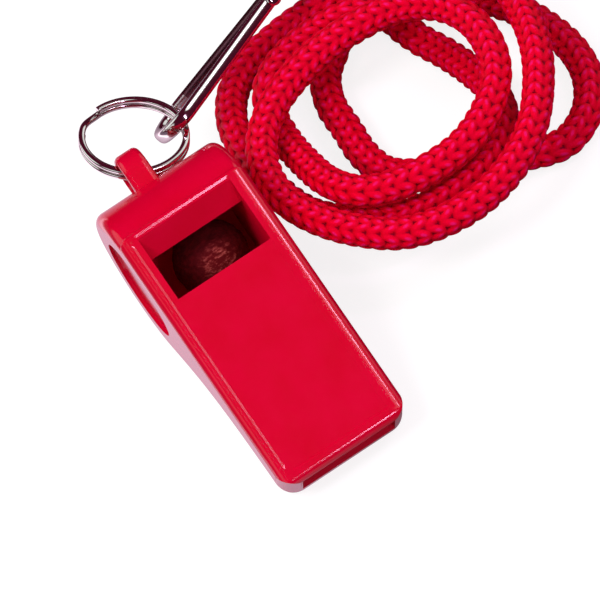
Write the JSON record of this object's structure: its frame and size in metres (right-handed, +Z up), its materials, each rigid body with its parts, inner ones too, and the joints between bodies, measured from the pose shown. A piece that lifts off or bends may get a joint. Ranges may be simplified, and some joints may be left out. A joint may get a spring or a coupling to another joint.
{
  "type": "plastic whistle",
  "caption": "Pea whistle of moulded plastic with a split ring, a swivel snap hook and a braided cord lanyard lying in a loose pile.",
  "frame": {"origin": "under the middle of the box of all pieces but the cord, on the surface that the object lies on", "axes": "+Z up; +X runs from the whistle's barrel towards its mouthpiece; +Y from the whistle towards the cord's pile"},
  "size_m": [0.0855, 0.0735, 0.0212],
  "materials": {
    "red_plastic": "gloss",
    "cork": "rough",
    "nickel_wire": "polished",
    "nickel_cast": "polished",
    "spring_steel": "satin",
    "red_cord": "braided"
  },
  "bodies": {
    "hook_and_cord": {"hook_body": "nickel_cast", "gate_rivet": "nickel_cast", "cord_pile": "red_cord", "cord_lead_a": "red_cord", "cord_lead_b": "red_cord"},
    "swivel": {"cord_ferrule": "nickel_cast", "swivel_pin": "nickel_cast"},
    "gate": {"hook_gate": "spring_steel"},
    "ring": {"split_ring": "nickel_wire"},
    "whistle": {"whistle_body": "red_plastic", "side_cover": "red_plastic"},
    "pea": {"pea": "cork"}
  },
  "joints": [
    {"name": "hook_swivel", "type": "hinge", "parent": "hook_and_cord", "child": "swivel", "pos_m": [-0.01549, -0.00826, 0.01224], "axis": [-0.4302, 0.902, -0.0349], "continuous": true},
    {"name": "gate_press", "type": "hinge", "parent": "hook_and_cord", "child": "gate", "pos_m": [-0.02205, 0.0086, 0.0131], "axis": [-0.6808, -0.2989, 0.6687], "range_deg": [0, 8], "stiffness_Nm_per_rad": 0.05},
    {"name": "ring_swing", "type": "hinge", "parent": "hook_and_cord", "child": "ring", "pos_m": [-0.0153, -0.00866, 0.01226], "axis": [-0.9958, -0.0871, -0.028], "range_deg": [0, 30]},
    {"name": "whistle_swing", "type": "hinge", "parent": "ring", "child": "whistle", "pos_m": [-0.00914, -0.01708, 0.01539], "axis": [0, 1, 0], "range_deg": [-20, 12]},
    {"name": "pea_roll", "type": "hinge", "parent": "whistle", "child": "pea", "pos_m": [0.00141, -0.01523, 0.0101], "axis": [0, 1, 0], "continuous": true}
  ]
}
